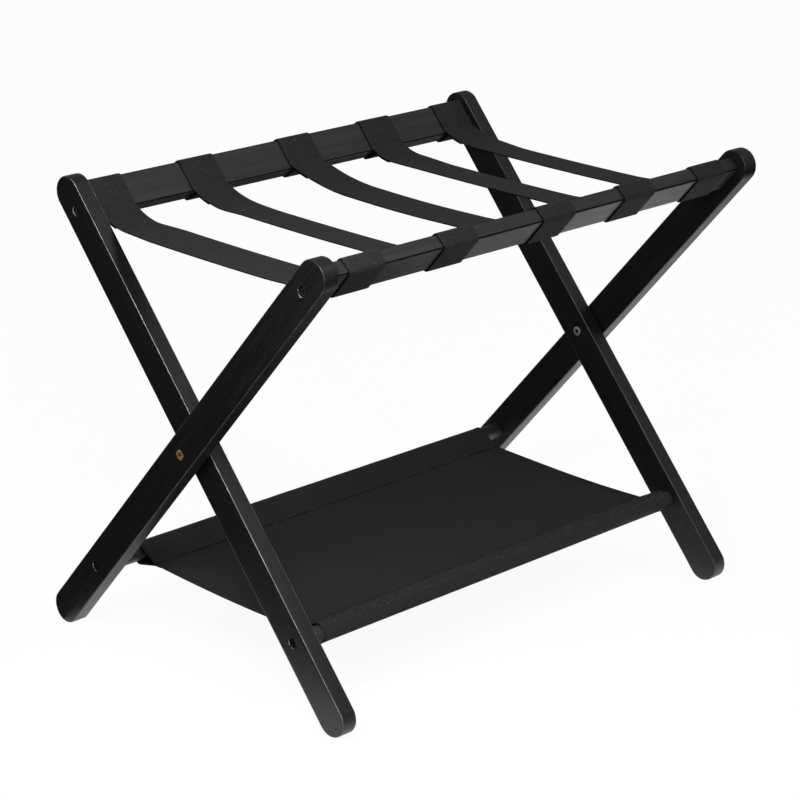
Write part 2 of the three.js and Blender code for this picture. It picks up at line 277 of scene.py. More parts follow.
def pivot_metal(name, colour, metallic, scratch_depth, tarnished, socket_radius, head_radius):
    """Metal of the fittings on the pivot axis. A dull film makes it less metallic, its tarnished
    patches keep that share of its colour, and painted shade darkens a key socket drawn at its middle and
    the head's rim."""
    s = Shader(name)
    _, y, z = s.split(s.vector("SUBTRACT", s.place, PIVOT))
    from_axis = length_of(s, y, z)
    tarnish = s.noise(s.place, 600, 3, 0.6)
    turned = s.noise(stretched(s, s.place, (40, 1, 1)), 500, 3, 0.6)
    shade = s.mix(s.ramp(tarnish, 0.42, 0.62), colour, tuple(tarnished * c for c in colour))
    # painted shade: a near-black key socket drawn on the flat head, and a darker rim where the head sits
    # sunk in its seat
    socket_shade = s.ramp(from_axis, 0.8 * socket_radius, 1.1 * socket_radius, 0.04, 1.0)
    rim_shade = s.ramp(from_axis, head_radius - 1.2 * MM, head_radius - 0.3 * MM, 1.0, 0.25)
    shade = s.mix(s.math("MULTIPLY", socket_shade, rim_shade), (0, 0, 0), shade)
    roughness = s.ramp(tarnish, 0.3, 0.7, 0.42, 0.58)
    relief = s.bump(turned, scratch_depth, 0.6)
    relief = s.bump(tarnish, 4 * scratch_depth, 0.7, relief)
    return s.finish(Base_Color=shade, Metallic=metallic, Roughness=roughness, Normal=relief)


def black_oxide():
    s = Shader("black_oxide_steel")
    speck = s.noise(s.place, 1200, 3, 0.6)
    colour = s.mix(s.ramp(speck, 0.4, 0.7), (0.04, 0.04, 0.041), (0.16, 0.157, 0.15))
    roughness = s.ramp(speck, 0.3, 0.7, 0.28, 0.5)
    relief = s.bump(speck, 0.03 * MM, 0.5)
    return s.finish(Base_Color=colour, Metallic=0.9, Roughness=roughness, Normal=relief)


def black_nylon():
    s = Shader("black_nylon")
    cloud = s.noise(s.place, 1500, 2, 0.5)
    roughness = s.ramp(cloud, 0.3, 0.7, 0.35, 0.55)
    relief = s.bump(cloud, 0.02 * MM, 0.4)
    return s.finish(Base_Color=(0.012, 0.012, 0.012, 1), Roughness=roughness, Normal=relief)


def turned_hardwood():
    s = Shader("turned_hardwood")
    fibre = s.noise(stretched(s, s.place, (0.05, 1, 1)), 1400, 4, 0.6)
    colour = s.mix(s.ramp(fibre, 0.35, 0.7), (0.42, 0.28, 0.15), (0.6, 0.45, 0.27))
    return s.finish(Base_Color=colour, Roughness=0.75, Normal=s.bump(fibre, 0.05 * MM, 0.6))


# ---------------------------------------------------------------- fabrics
# Both take their weave from the piece's UV map: U across the piece and V along it, in metres.


def woven(s, thread_across, thread_along):
    """The height of a plain weave, 0 to 1, whose threads are that far apart."""
    uv = s.add("ShaderNodeUVMap").outputs[0]
    u, v, _ = s.split(uv)
    across = s.math("DIVIDE", u, thread_across)
    along = s.math("DIVIDE", v, thread_along)
    over = s.math("PINGPONG", s.math("ADD", s.math("FLOOR", across), s.math("FLOOR", along)), 1.0)
    hump_across = s.math("ABSOLUTE", s.math("SINE", s.math("MULTIPLY", across, math.pi)))
    hump_along = s.math("ABSOLUTE", s.math("SINE", s.math("MULTIPLY", along, math.pi)))
    high = s.math("MULTIPLY", hump_across, s.math("SUBTRACT", 1.0, s.math("MULTIPLY", over, 0.5)))
    low = s.math("MULTIPLY", hump_along, s.math("ADD", 0.5, s.math("MULTIPLY", over, 0.5)))
    return s.math("MAXIMUM", high, low), uv


def webbing_material():
    s = Shader("black_webbing")
    uv = s.add("ShaderNodeUVMap").outputs[0]
    u, v, _ = s.split(uv)
    wander = s.math("MULTIPLY", s.math("SUBTRACT", s.noise(uv, 220, 2), 0.5), 0.5 * MM)
    ribs = s.waves(s.math("ADD", v, wander), 1.9 * MM)
    yarns = s.waves(u, 1.1 * MM)
    height = s.math("ADD", s.math("MULTIPLY", ribs, 0.75), s.math("MULTIPLY", yarns, 0.25))
    fuzz = s.noise(stretched(s, uv, (1, 2.2, 1)), 2200, 3, 0.7)
    cloud = s.noise(uv, 45, 3, 0.6)
    shade = s.math("ADD", s.math("MULTIPLY", height, 0.5), s.math("MULTIPLY", fuzz, 0.5))
    colour = s.mix(s.ramp(shade, 0.2, 0.9), (0.0140, 0.0139, 0.0141), (0.054, 0.053, 0.054))
    fleck = s.noise(stretched(s, uv, (1, 0.35, 1)), 700, 2, 0.5)
    colour = s.mix(s.ramp(fleck, 0.58, 0.70, 0.0, 0.6), colour, (0.115, 0.113, 0.114))
    colour = s.mix(s.ramp(cloud, 0.35, 0.75, 0.0, 0.35), colour, (0.026, 0.0255, 0.0255))
    roughness = s.ramp(fuzz, 0.3, 0.7, 0.72, 0.9)
    relief = s.bump(height, 0.22 * MM, 0.9)
    relief = s.bump(fuzz, 0.08 * MM, 0.6, relief)
    s.finish(Base_Color=colour, Roughness=roughness, Normal=relief, Specular_IOR_Level=0.2)
    return s.finish(Sheen_Weight=0.04, Sheen_Roughness=0.45, Sheen_Tint=(0.8, 0.8, 0.82, 1))


# The webbing's cut sides are near black: painted shade for the dark line of shadow along the straps'
# edges
def webbing_edge_shade_material():
    s = Shader("black_webbing_edge_painted_shade")
    uv = s.add("ShaderNodeUVMap").outputs[0]
    loops = s.noise(uv, 1500, 3, 0.7)
    colour = s.mix(s.ramp(loops, 0.3, 0.7), (0.0015, 0.0015, 0.0015), (0.006, 0.006, 0.006))
    relief = s.bump(loops, 0.15 * MM, 0.8)
    return s.finish(Base_Color=colour, Roughness=0.95, Normal=relief, Specular_IOR_Level=0.1)


def near_any(s, value, places):
    """How far a value is from the nearest of some places."""
    nearest = 1.0
    for place in places:
        nearest = s.math("MINIMUM", nearest, s.math("ABSOLUTE", s.math("SUBTRACT", value, place)))
    return nearest


def shelf_material(shade_lines, folds):
    """The cloth, with a broken dark line of painted shade along each shade line and flecks of painted
    highlight along each shade line and fold; both are given as places along the cloth."""
    s = Shader("black_shelf_cloth")
    weave, uv = woven(s, 0.62 * MM, 0.7 * MM)
    slub = s.noise(stretched(s, uv, (0.06, 1, 1)), 900, 3, 0.6)
    cross_slub = s.noise(stretched(s, uv, (1, 0.06, 1)), 900, 3, 0.6)
    cloud = s.noise(uv, 22, 3, 0.6)
    threads = s.math("ADD", s.math("MULTIPLY", slub, 0.5), s.math("MULTIPLY", cross_slub, 0.5))
    shade = s.math("ADD", s.math("MULTIPLY", weave, 0.45), s.math("MULTIPLY", threads, 0.55))
    colour = s.mix(s.ramp(shade, 0.25, 0.8), (0.0172, 0.0154, 0.0167), (0.0540, 0.0500, 0.0535))
    colour = s.mix(s.ramp(cloud, 0.4, 0.75, 0.0, 0.3), colour, (0.0390, 0.0358, 0.0385))
    along = s.split(uv)[1]
    # painted shade: a broken near-black line in the sewn seams' creases and under the front sleeve
    from_shade_line = near_any(s, along, shade_lines)
    broken = s.ramp(s.noise(stretched(s, uv, (1, 0.3, 1)), 260, 2), 0.36, 0.56)
    shade_line = s.math("MULTIPLY", s.ramp(from_shade_line, 0.7 * MM, 2.0 * MM, 1.0, 0.0), broken)
    # painted highlight: pale flecks near the shade lines and the fold, where the puckered cloth catches
    # light
    from_either = near_any(s, along, shade_lines + folds)
    rub_and_highlight = s.ramp(from_either, 2 * MM, 6 * MM, 0.7, 0.0)
    fleck = s.ramp(s.noise(stretched(s, uv, (1, 0.6, 1)), 520, 2), 0.57, 0.68)
    colour = s.mix(s.math("MULTIPLY", rub_and_highlight, fleck), colour, (0.130, 0.122, 0.126))
    colour = s.mix(shade_line, colour, (0.0015, 0.0013, 0.0013))
    roughness = s.ramp(threads, 0.35, 0.65, 0.7, 0.88)
    relief = s.bump(weave, 0.12 * MM, 0.8)
    relief = s.bump(threads, 0.12 * MM, 0.5, relief)
    s.finish(Base_Color=colour, Roughness=roughness, Normal=relief, Specular_IOR_Level=0.15)
    return s.finish(Sheen_Weight=0.04, Sheen_Roughness=0.5, Sheen_Tint=(0.85, 0.8, 0.84, 1))


def thread_material():
    s = Shader("black_thread")
    twist = s.noise(s.place, 3000, 2, 0.6)
    colour = s.mix(s.ramp(twist, 0.3, 0.7), (0.012, 0.012, 0.012), (0.045, 0.044, 0.044))
    return s.finish(Base_Color=colour, Roughness=0.6, Normal=s.bump(twist, 0.05 * MM, 0.6))


# ---------------------------------------------------------------- smoothing for the CAD's nodes

WELD_DISTANCE = 0.005 * MM
SHARP_EDGE = math.radians(50)  # an edge that turns less than this is shaded smoothly


def smoothing_nodes():
    """Joins each CAD solid's split corners and shades its round faces smoothly, edges kept sharp."""
    group = bpy.data.node_groups.new("smooth_round_faces", "GeometryNodeTree")
    group.interface.new_socket("Geometry", in_out="INPUT", socket_type="NodeSocketGeometry")
    group.interface.new_socket("Geometry", in_out="OUTPUT", socket_type="NodeSocketGeometry")
    start = group.nodes.new("NodeGroupInput").outputs[0]
    end = group.nodes.new("NodeGroupOutput").inputs[0]
    drop = group.nodes.new("GeometryNodeRemoveAttribute")
    drop.inputs["Name"].default_value = "custom_normal"
    weld = group.nodes.new("GeometryNodeMergeByDistance")
    weld.inputs["Distance"].default_value = WELD_DISTANCE
    faces = group.nodes.new("GeometryNodeSetShadeSmooth")
    edges = group.nodes.new("GeometryNodeSetShadeSmooth")
    edges.domain = "EDGE"
    angle = group.nodes.new("GeometryNodeInputMeshEdgeAngle")
    gentle = group.nodes.new("FunctionNodeCompare")
    gentle.operation = "LESS_THAN"
    gentle.inputs["B"].default_value = SHARP_EDGE
    links = group.links
    links.new(start, drop.inputs[0])
    links.new(drop.outputs[0], weld.inputs[0])
    links.new(weld.outputs[0], faces.inputs[0])
    links.new(faces.outputs[0], edges.inputs[0])
    links.new(angle.outputs["Unsigned Angle"], gentle.inputs["A"])
    links.new(gentle.outputs[0], edges.inputs["Shade Smooth"])
    links.new(edges.outputs[0], end)
    return group


SMOOTHING = smoothing_nodes()


def refine(node, material):
    """Gives a CAD node its detailed material and smooth shading, and leaves its shape alone."""
    piece = frame["nodes"][node]
    piece.data.materials.clear()
    piece.data.materials.append(material)
    rounding = piece.modifiers.new("smooth_round_faces", "NODES")
    rounding.node_group = SMOOTHING
    weighted = piece.modifiers.new("flat_faces_stay_flat", "WEIGHTED_NORMAL")
    weighted.keep_sharp = True
    weighted.mode = "FACE_AREA"
    weighted.weight = 100


# ---------------------------------------------------------------- ribbons of cloth


def rounded_path(corners, step):
    """A line in (Y, Z) through the corners, each given as (point, radius) and turned with that radius."""
    points = [Vector(corners[0][0])]
    for i in range(1, len(corners) - 1):
        corner, radius = Vector(corners[i][0]), corners[i][1]
        before = (Vector(corners[i - 1][0]) - corner).normalized()
        after = (Vector(corners[i + 1][0]) - corner).normalized()
        turn = math.pi - before.angle(after)
        tangent = radius * math.tan(turn / 2)
        start, end = corner + before * tangent, corner + after * tangent
        centre = corner + (before + after).normalized() * (radius / math.cos(turn / 2))
        count = max(3, math.ceil(radius * turn / step))
        first, last = start - centre, end - centre
        sweep = math.atan2(first.x * last.y - first.y * last.x, first.dot(last))
        for k in range(count + 1):
            points.append(centre + Matrix.Rotation(sweep * k / count, 2) @ first)
    points.append(Vector(corners[-1][0]))
    return points


def resampled(points, step):
    """The same line with its straight stretches cut to about one step."""
    line = [points[0]]
    for a, b in zip(points, points[1:]):
        count = max(1, round((b - a).length / step))
        line += [a.lerp(b, (k + 1) / count) for k in range(count)]
    return line


def distances(line):
    total = [0.0]
    for a, b in zip(line, line[1:]):
        total.append(total[-1] + (b - a).length)
    return total


def normals(line):
    """The unit normals of a line in (Y, Z), to the left of its direction."""
    result = []
    for i in range(len(line)):
        along = (line[min(i + 1, len(line) - 1)] - line[max(i - 1, 0)]).normalized()
        result.append(Vector((-along.y, along.x)))
    return result


class Ribbon:
    """A strip of cloth along a line in (Y, Z): thickness(u) says how thick it is u across from its
    middle, and lift(u, i) how far it stands off its line there at row i. Its two faces and its
    edges are one closed mesh."""

    def __init__(self, name, line, x_middle, width, columns, thickness, lift, edge_round):
        self.line, self.normal, self.run = line, normals(line), distances(line)
        self.x, self.width, self.thickness, self.lift = x_middle, width, thickness, lift
        half = width / 2
        inner = half - edge_round
        us = [-half] + [-inner + 2 * inner * k / columns for k in range(columns + 1)] + [half]
        self.name, self.us = name, us

    def point(self, u, i, side):
        """The surface point at u across and row i along, on side +1 (top), -1 (under) or 0."""
        offset = self.lift(u, i) + side * self.thickness(u) / 2
        flat = self.line[i] + self.normal[i] * offset
        return Vector((self.x + u, flat.x, flat.y))

    def build(self, materials, edge_slot=None):
        mesh = bmesh.new()
        uv = mesh.loops.layers.uv.new("weave")
        rows = len(self.line)
        ring = [(u, 1) for u in self.us[1:-1]] + [(self.us[-1], 0)]
        ring += [(u, -1) for u in reversed(self.us[1:-1])] + [(self.us[0], 0)]
        grid = [[mesh.verts.new(self.point(u, i, side)) for u, side in ring] for i in range(rows)]
        count = len(ring)
        for i in range(rows - 1):
            for k in range(count):
                n = (k + 1) % count
                face = mesh.faces.new((grid[i][k], grid[i + 1][k], grid[i + 1][n], grid[i][n]))
                face.smooth = True
                on_edge = ring[k][1] == 0 or ring[n][1] == 0
                if edge_slot is not None and on_edge:
                    face.material_index = edge_slot
                corners = ((k, i), (k, i + 1), (n, i + 1), (n, i))
                for loop, (column, row) in zip(face.loops, corners):
                    loop[uv].uv = (ring[column][0], self.run[row])
        for row in (0, rows - 1):
            face = mesh.faces.new(grid[row] if row else list(reversed(grid[row])))
            for loop, (u, side) in zip(face.loops, ring):
                loop[uv].uv = (u, self.run[row] + side * MM)
        bmesh.ops.recalc_face_normals(mesh, faces=mesh.faces)
        data = bpy.data.meshes.new(self.name)
        mesh.to_mesh(data)
        mesh.free()
        piece = bpy.data.objects.new(self.name, data)
        bpy.context.scene.collection.objects.link(piece)
        for material in materials:
            data.materials.append(material)
        return piece

    def row_at(self, distance):
        """The row nearest to a distance along the line."""
        return min(range(len(self.run)), key=lambda i: abs(self.run[i] - distance))

    def spot(self, u, distance, side):
        """A surface point, its along and out directions, for a stitch."""
        i = max(1, min(self.row_at(distance), len(self.line) - 2))
        here = self.point(u, i, side)
        ahead, behind = self.point(u, i + 1, side), self.point(u, i - 1, side)
        along = (ahead - behind).normalized()
        slide = distance - self.run[i]
        out = Vector((0, self.normal[i].x, self.normal[i].y)) * side
        return here + along * slide, along, out


# ---------------------------------------------------------------- stitching

THREAD = 0.75 * MM
# One stitch's stations: place along it and girth as shares, and its height in threads.
STITCH_STATIONS = (
    (-0.5, 0.25, -0.25),
    (-0.3, 0.9, 0.15),
    (0.0, 1.0, 0.3),
    (0.3, 0.9, 0.15),
    (0.5, 0.25, -0.25),
)
STITCH_SIDES = 6
STITCH_FLATNESS = 0.7  # a stitch is this much lower than wide


def stitch(mesh, place, along, out, length):
    """One stitch: a short thread that rises out of the cloth and goes back in."""
    side = along.cross(out).normalized()
    sides = STITCH_SIDES
    rings = []
    for share, girth, rise in STITCH_STATIONS:
        centre = place + along * (share * length) + out * (rise * THREAD)
        ring = []
        for k in range(sides):
            angle = 2 * math.pi * k / sides
            reach = side * math.cos(angle) + out * (STITCH_FLATNESS * math.sin(angle))
            ring.append(mesh.verts.new(centre + reach * (girth * THREAD / 2)))
        rings.append(ring)
    for a, b in zip(rings, rings[1:]):
        for k in range(sides):
            mesh.faces.new((a[k], a[(k + 1) % sides], b[(k + 1) % sides], b[k])).smooth = True
    mesh.faces.new(rings[0])
    mesh.faces.new(rings[-1])


def stitching(name, marks):
    """A piece made of stitches: marks are (place, along, out, length)."""
    mesh = bmesh.new()
    for mark in marks:
        stitch(mesh, *mark)
    bmesh.ops.recalc_face_normals(mesh, faces=mesh.faces)
    data = bpy.data.meshes.new(name)
    mesh.to_mesh(data)
    mesh.free()
    data.materials.append(THREAD_BLACK)
    piece = bpy.data.objects.new(name, data)
    bpy.context.scene.collection.objects.link(piece)
    return piece


def row_across(ribbon, distance, u_from, u_to, side, pitch, length):
    """Stitches in a line across the ribbon."""
    count = round(abs(u_to - u_from) / pitch)
    marks = []
    for k in range(count):
        u = u_from + (u_to - u_from) * (k + 0.5) / count
        place, _, out = ribbon.spot(u, distance, side)
        marks.append((place, Vector((1, 0, 0)), out, length))
    return marks


def row_along(ribbon, u, start, end, side, pitch, length):
    """Stitches in a line along the ribbon."""
    count = round((end - start) / pitch)
    marks = []
    for k in range(count):
        place, along, out = ribbon.spot(u, start + (end - start) * (k + 0.5) / count, side)
        marks.append((place, along, out, length))
    return marks


# ---------------------------------------------------------------- the webbing straps

# How each strap levels out from its rails: how far above the rail's lower corner it leaves the
# inner face (mm), its slope there (degrees), and how far below that corner it is level (mm).
STRAP_BENDS = ((2, 34, 12.9), (4, 28, 11.9), (6, 20, 14.0), (3, 30, 7.6), (5, 26, 8.1))
# How far each strap's left and right edges stand above its middle line in the open stretch (mm).
STRAP_ROLLS = ((-1.4, 1.8), (1.8, -1.4), (-0.3, 0.3), (0.3, -2.0), (0.0, -2.6))
ROLL_REACH = 60 * MM  # the roll grows from nothing over this length
STRAP_FALL = 1.2 * MM  # the level stretch hangs this much lower halfway across
STRAP_TAIL = 26 * MM  # the end that is doubled back under the span and sewn to it
CORNER_EASE = 5 * MM  # how gently the webbing turns off the rail's inner face
FOLD_BEND = 2.2 * MM  # how tightly the lower layer turns to join the span
FOLD_PAST_RAIL = 6.5 * MM  # where it joins, measured along the span from the rail's inner face
LAYER_GAP = 0.15 * MM  # between the span and the tail sewn under it
RAIL_EDGE = 3 * MM
SELVEDGE = 1.3 * MM  # the webbing's thinner border
SELVEDGE_SHARE = 0.82  # of the full thickness
STRAP_COLUMNS = 20
STRAP_STEP, SPAN_STEP, STRAP_TURN_STEP = 3 * MM, 4 * MM, 1 * MM  # between rows along the webbing
STRAP_EDGE_ROUND = 0.5 * MM
STRAP_STITCH, STRAP_STITCH_PITCH = 2.5 * MM, 3 * MM
BOX_INSET = 4 * MM  # of the box stitch from the webbing's edges

rail_low, rail_high = in_leg("front_top_rail", OUTER)
loop_low, loop_high = in_leg("strap_1_front_loop", OUTER)
WEB_THICKNESS = (loop_high.z - loop_low.z - (rail_high.z - rail_low.z)) / 2 - CLEARANCE


def outer_yz(y, z):
    """A point of the outer frame's leg coordinates, in the rack's (Y, Z)."""
    place = PIVOT + OUTER @ Vector((0, y, z))
    return Vector((place.y, place.z))


def mirrored(corners):
    """The same corners in front of and behind the pivot swapped, in reverse order."""
    return [(Vector((-p.x, p.y)), radius) for p, radius in reversed(corners)]


def rail_corners(gap):
    """The rail's section grown by a gap, from its lower inner corner round to its upper inner one."""
    low_y, high_y = rail_low.y - gap, rail_high.y + gap
    low_z, high_z = rail_low.z - gap, rail_high.z + gap
    corners = ((high_y, low_z), (low_y, low_z), (low_y, high_z), (high_y, high_z))
    return [outer_yz(y, z) for y, z in corners]


def wide_bend(lower_inner, upper_inner, bend):
    """A strap's line from where it leaves the front rail's inner face until it is level."""
    rise, slope_degrees, level_drop = bend
    start = lower_inner + (upper_inner - lower_inner).normalized() * (rise * MM)
    steep = math.radians(slope_degrees)
    drop = start.y - lower_inner.y + level_drop * MM
    radius = drop / (1 - math.cos(steep))
    count = math.ceil(radius * steep / STRAP_STEP)
    line = []
    for k in range(count + 1):
        slope = steep * (1 - k / count)
        across = math.sin(steep) - math.sin(slope)
        down = math.cos(slope) - math.cos(steep)
        line.append(start + Vector((radius * across, -radius * down)))
    return line


def strap_line(bend):
    """One strap from its front end, under the span and round the front rail, across to the back
    rail, round it and back under the span."""
    gap = CLEARANCE + WEB_THICKNESS / 2
    lower_inner, lower_outer, upper_outer, upper_inner = rail_corners(gap)
    radius = RAIL_EDGE + gap
    span = wide_bend(lower_inner, upper_inner, bend)
    level = span[-1]
    rows = math.ceil(-level.x / SPAN_STEP)
    for k in range(1, rows + 1):
        y = level.x * (1 - k / rows)
        span.append(Vector((y, level.y - STRAP_FALL * (1 - (y / level.x) ** 2))))
    # the sewn tail follows the span one thickness below it
    under = [p - n * (WEB_THICKNESS + LAYER_GAP) for p, n in zip(span, normals(span))]
    run = distances(under)
    tail = [p for p, d in zip(under, run) if FOLD_PAST_RAIL < d < FOLD_PAST_RAIL + STRAP_TAIL]
    fold = [(tail[1], 0), (tail[0], FOLD_BEND), (lower_outer, radius)]
    loop = [(upper_outer, radius), (upper_inner, radius), (span[0], CORNER_EASE), (span[2], 0)]
    halfway = lower_outer.lerp(upper_outer, 0.5)
    joint = rounded_path(fold + [(halfway, 0)], STRAP_TURN_STEP)
    wrap = rounded_path([(halfway, 0)] + loop, STRAP_TURN_STEP)
    front = list(reversed(tail[2:])) + joint + wrap[1:-1] + span[2:]
    back = [Vector((-p.x, p.y)) for p in reversed(front[:-1])]
    return resampled(front + back, STRAP_STEP)


def smooth(value):
    """0 below 0, 1 above 1, and an S-curve between."""
    share = max(0.0, min(1.0, value))
    return share * share * (3 - 2 * share)


def strap(number, bend, roll):
    name = f"strap_{number}"
    low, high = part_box(f"{name}_span")
    line = strap_line(bend)
    width = high.x - low.x

    def thickness(u):
        return WEB_THICKNESS * (SELVEDGE_SHARE if abs(u) > width / 2 - SELVEDGE else 1.0)

    def lift(u, i):
        left, right = roll
        edge = left + (right - left) * (u / width + 0.5)
        return edge * MM * smooth((BLEND_REACH - abs(line[i].x)) / ROLL_REACH)

    x_middle = (low.x + high.x) / 2
    ribbon = Ribbon(name, line, x_middle, width, STRAP_COLUMNS, thickness, lift, STRAP_EDGE_ROUND)
    piece = ribbon.build([WEBBING, WEBBING_EDGE_SHADE], edge_slot=1)
    marks = []
    for sewn in (joint_run(ribbon, False), joint_run(ribbon, True)):
        marks += box_stitch(ribbon, sewn)
    thread = stitching(f"{name}_stitching", marks)
    for part in (piece, thread):
        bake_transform(part)
    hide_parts(f"{name}_span", f"{name}_front_loop", f"{name}_back_loop")


def joint_run(ribbon, at_back):
    """Where along the strap the sewn stretch of its span starts and ends."""
    half = abs(rail_corners(0)[0].x)
    sign = 1 if at_back else -1
    rows = [i for i, p in enumerate(ribbon.line) if half - STRAP_TAIL < sign * p.x < half - 2 * MM]
    past_tails = STRAP_TAIL * 1.5
    upper = [i for i in rows if past_tails < ribbon.run[i] < ribbon.run[-1] - past_tails]
    return ribbon.run[min(upper)], ribbon.run[max(upper)]


def box_stitch(ribbon, sewn):
    """The stitches that hold a strap's two layers together: a box between start and end."""
    start, end = sewn
    edge = ribbon.width / 2 - BOX_INSET
    near, far = start + 1.5 * MM, end - 2 * MM
    marks = []
    for distance in (near, far):
        marks += row_across(ribbon, distance, -edge, edge, 1, STRAP_STITCH_PITCH, STRAP_STITCH)
    for u in (-edge, edge):
        marks += row_along(ribbon, u, near, far, 1, STRAP_STITCH_PITCH, STRAP_STITCH)
    return marks


# ---------------------------------------------------------------- the shelf

SHELF_CLOTH = 0.9 * MM
SEAM_FROM_BAR = 33 * MM  # from the bar's middle to the seam that closes its sleeve
SEAM_DROP = 5 * MM  # how far the seam lies below the bar's middle
SHELF_HEM = 8 * MM  # the end that is doubled back beyond the seam
BAR_EDGE = 6 * MM
BAR_SLACK = 0.6 * MM  # the sleeve turns that much wider round the bar's edges
SHELF_SAG = 2.5 * MM
BEND_AT_SEAM = 10 * MM
SHELF_COLUMNS = 150
SHELF_STEP, SHELF_TURN_STEP = 4 * MM, 1.5 * MM  # between rows along the cloth
SHELF_EDGE_ROUND = 0.6 * MM
SIDE_HEM = 7 * MM
SIDE_HEM_SHARE = 1.7  # of the cloth's thickness
SHELF_STITCH, SHELF_STITCH_PITCH = 2.7 * MM, 3.2 * MM
SIDE_STITCH_INSET = 6 * MM  # of the side hems' stitches from the cloth's edges
SEAM_END_INSET = 2 * MM  # the seams' stitches end this far from them
PULL_HEIGHT, PULL_REACH = 1.1 * MM, 22 * MM  # small pulls beside the seams
WAVE_HEIGHT = 0.5 * MM  # soft waves over the panel
SEAM_GROOVE = 0.5 * MM  # the stitches pull the cloth in by this much
LOWER_SHADE_LINE = math.radians(-35)  # how far round the front sleeve a line of painted shade and its fold lie
UPPER_FOLD = math.radians(50)


def shelf_line():
    """The shelf from its front hem, under and round the front bar and over the panel to the rear
    bar and hem."""
    low, high = in_leg("rear_shelf_bar", OUTER)
    gap = CLEARANCE + SHELF_CLOTH / 2
    half = (high.y - low.y) / 2 + gap
    mid_y, mid_z = (low.y + high.y) / 2, (low.z + high.z) / 2
    corners = {}
    for name, y, z in (("top", 1, 1), ("back", 1, -1), ("bottom", -1, -1)):
        corners[name] = outer_yz(mid_y + y * half, mid_z + z * half)
    centre = outer_yz(mid_y, mid_z)
    seam = Vector((centre.x - SEAM_FROM_BAR, centre.y - SEAM_DROP))
    radius = BAR_EDGE + gap + BAR_SLACK
    under = Vector((0, SHELF_CLOTH + 0.1 * MM))
    rear = [
        (seam - under - Vector((SHELF_HEM, 0)), 0),
        (seam - under, BEND_AT_SEAM),
        (corners["bottom"], radius),
        (corners["back"], radius),
        (corners["top"], radius),
        (seam, BEND_AT_SEAM),
    ]
    middle_point = [(Vector((0.0, seam.y)), 0)]
    before = rounded_path(rear + middle_point, SHELF_TURN_STEP)
    after = rounded_path(middle_point + mirrored(rear), SHELF_TURN_STEP)
    rear_to_front = resampled(before[:-1] + after, SHELF_STEP)
    return rear_to_front[::-1], seam


def run_facing(ribbon, last, angle):
    """How far along the cloth it faces forwards at that angle above the level, on the front bar."""
    facing = [abs(math.atan2(n.y, -n.x) - angle) for n in ribbon.normal[:last]]
    return min(zip(facing, ribbon.run))[1]


def shelf():
    line, seam = shelf_line()
    low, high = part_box("shelf_panel")
    width = high.x - low.x
    run = distances(line)
    top_rows = [i for i, p in enumerate(line) if abs(p.x) < seam.x]
    inside = [i for i in top_rows if SHELF_HEM * 1.5 < run[i] < run[-1] - SHELF_HEM * 1.5]
    first, last = min(inside), max(inside)

    def thickness(u):
        return SHELF_CLOTH * (SIDE_HEM_SHARE if abs(u) > width / 2 - SIDE_HEM else 1.0)

    def lift(u, i):
        """Sag of the panel, the seams' grooves, small pulls beside them, and soft waves."""
        from_seam = min(abs(run[i] - run[first]), abs(run[i] - run[last]))
        on_panel = first <= i <= last
        share = (line[i].x / seam.x) ** 2 if on_panel else 1.0
        sideways = (2 * u / width) ** 2
        sag = -SHELF_SAG * (1 - share) * (1 + 0.15 * sideways)
        pulls = noise.noise(Vector((u * 38, 3.1 + (1 if line[i].x > 0 else 9), from_seam * 14)))
        near_seam = math.exp(-from_seam / PULL_REACH)
        waves = noise.noise(Vector((u * 9, line[i].x * 12, 5.7)))
        groove = SEAM_GROOVE * math.exp(-(from_seam / (1.5 * MM)) ** 2)
        rise = PULL_HEIGHT * pulls * near_seam + (WAVE_HEIGHT * waves if on_panel else 0.0)
        return sag - groove + rise

    x_middle = (low.x + high.x) / 2
    ribbon = Ribbon("shelf", line, x_middle, width, SHELF_COLUMNS, thickness, lift, SHELF_EDGE_ROUND)
    shade_lines = [run[first], run[last], run_facing(ribbon, first, LOWER_SHADE_LINE)]
    piece = ribbon.build([shelf_material(shade_lines, [run_facing(ribbon, first, UPPER_FOLD)])])
    marks = []
    edge = width / 2 - SIDE_STITCH_INSET
    ends = width / 2 - SEAM_END_INSET
    near, far = 1 * MM, 6 * MM
    for distance in (run[first] + near, run[first] + far, run[last] - near, run[last] - far):
        marks += row_across(ribbon, distance, -ends, ends, 1, SHELF_STITCH_PITCH, SHELF_STITCH)
    for u in (-edge, edge):
        marks += row_along(ribbon, u, run[first], run[last], 1, SHELF_STITCH_PITCH, SHELF_STITCH)
    thread = stitching("shelf_stitching", marks)
    for part in (piece, thread):
        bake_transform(part)
    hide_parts("shelf_panel", "shelf_rear_sleeve", "shelf_front_sleeve")


# ---------------------------------------------------------------- build

WEBBING = webbing_material()
WEBBING_EDGE_SHADE = webbing_edge_shade_material()
THREAD_BLACK = thread_material()

# The straps bend only between their sewn stretches.
BLEND_REACH = abs(rail_corners(0)[0].x) - STRAP_TAIL - FOLD_PAST_RAIL


def seats_of(frame_turn, centre, screws):
    """A leg's sunk screw seats as (height along the leg from its middle, radius)."""
    seats = []
    for node in screws:
        low, high = in_leg(node, frame_turn)
        seats.append(((low.z + high.z) / 2 - centre.z, (high.y - low.y) / 2 + SEAT_MARGIN))
    return seats


